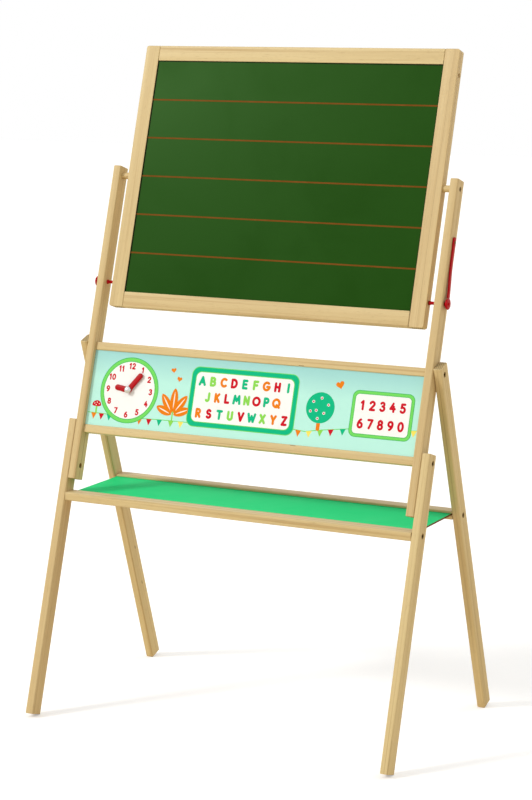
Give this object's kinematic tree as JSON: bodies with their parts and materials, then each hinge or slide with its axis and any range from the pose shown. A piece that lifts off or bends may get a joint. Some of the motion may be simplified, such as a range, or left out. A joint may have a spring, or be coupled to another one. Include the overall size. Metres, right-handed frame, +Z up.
{
  "type": "kids easel",
  "caption": "Children's wooden standing easel with a turn-over framed writing board, a printed learning panel with a toy clock, and a low shelf between splayed legs.",
  "frame": {"origin": "on the floor, in the middle of the footprint", "axes": "+Z up; -Y towards the child, the side of the chalk face and the printed panel; +X to the right seen from the front"},
  "size_m": [0.7106, 0.4536, 1.1819],
  "materials": {
    "birch_wood": "satin clear lacquer",
    "dowel_wood": "plain sanded",
    "chalk_green": "matt chalkboard paint",
    "white_enamel": "gloss dry-wipe coating",
    "printed_panel": "satin printed hardboard",
    "shelf_green": "satin painted hardboard",
    "red_plastic": "moulded, slightly glossy",
    "zinc_plated_steel": "yellowish zinc plate",
    "staple_steel": "dark wire"
  },
  "bodies": {
    "stand": {"left_upright": "birch_wood", "right_upright": "birch_wood", "left_front_leg": "birch_wood", "right_front_leg": "birch_wood", "left_rear_leg": "birch_wood", "right_rear_leg": "birch_wood", "panel_top_rail": "birch_wood", "panel_bottom_rail": "birch_wood", "shelf_front_rail": "birch_wood", "shelf_rear_rail": "birch_wood", "print_panel": "printed_panel", "shelf_panel": "shelf_green", "left_pin_strap": "red_plastic", "right_pin_strap": "red_plastic", "left_front_leg_bolt": "zinc_plated_steel", "left_rear_leg_bolt": "zinc_plated_steel", "left_shelf_front_bolt": "zinc_plated_steel", "left_shelf_rear_bolt": "zinc_plated_steel", "left_bottom_rail_nut": "zinc_plated_steel", "left_top_rail_nut": "zinc_plated_steel", "left_shelf_front_nut": "zinc_plated_steel", "left_shelf_rear_nut": "zinc_plated_steel", "left_overlap_screw": "zinc_plated_steel", "left_pivot_screw": "zinc_plated_steel", "left_strap_screw": "zinc_plated_steel", "right_front_leg_bolt": "zinc_plated_steel", "right_rear_leg_bolt": "zinc_plated_steel", "right_shelf_front_bolt": "zinc_plated_steel", "right_shelf_rear_bolt": "zinc_plated_steel", "right_bottom_rail_nut": "zinc_plated_steel", "right_top_rail_nut": "zinc_plated_steel", "right_shelf_front_nut": "zinc_plated_steel", "right_shelf_rear_nut": "zinc_plated_steel", "right_overlap_screw": "zinc_plated_steel", "right_pivot_screw": "zinc_plated_steel", "right_strap_screw": "zinc_plated_steel", "clock_axle": "zinc_plated_steel", "clock_retainer": "zinc_plated_steel", "top_rail_staple": "staple_steel", "bottom_rail_staple": "staple_steel", "shelf_staple": "staple_steel"},
    "board": {"left_board_stile": "birch_wood", "right_board_stile": "birch_wood", "board_top_rail": "birch_wood", "board_bottom_rail": "birch_wood", "chalk_sheet": "chalk_green", "white_sheet": "white_enamel", "left_top_corner_dowel": "dowel_wood", "left_bottom_corner_dowel": "dowel_wood", "right_top_corner_dowel": "dowel_wood", "right_bottom_corner_dowel": "dowel_wood", "left_pivot_dowel": "dowel_wood", "right_pivot_dowel": "dowel_wood"},
    "left_pin": {"left_lock_pin": "red_plastic"},
    "right_pin": {"right_lock_pin": "red_plastic"},
    "hour_hand": {"hour_hand": "red_plastic"},
    "minute_hand": {"minute_hand": "red_plastic"}
  },
  "joints": [
    {"name": "board_turn", "type": "hinge", "parent": "stand", "child": "board", "pos_m": [0, 0.08396, 0.94744], "axis": [1, 0, 0], "range_deg": [-180, 180]},
    {"name": "left_pin_slide", "type": "slide", "parent": "stand", "child": "left_pin", "axis": [-1, 0, 0], "range_m": [-0.003, 0.026]},
    {"name": "right_pin_slide", "type": "slide", "parent": "stand", "child": "right_pin", "axis": [1, 0, 0], "range_m": [-0.003, 0.026]},
    {"name": "hour_hand_turn", "type": "hinge", "parent": "stand", "child": "hour_hand", "pos_m": [-0.2435, -0.03954, 0.57404], "axis": [0, -0.9537, 0.3007], "continuous": true},
    {"name": "minute_hand_turn", "type": "hinge", "parent": "stand", "child": "minute_hand", "pos_m": [-0.2435, -0.03954, 0.57404], "axis": [0, -0.9537, 0.3007], "continuous": true}
  ]
}
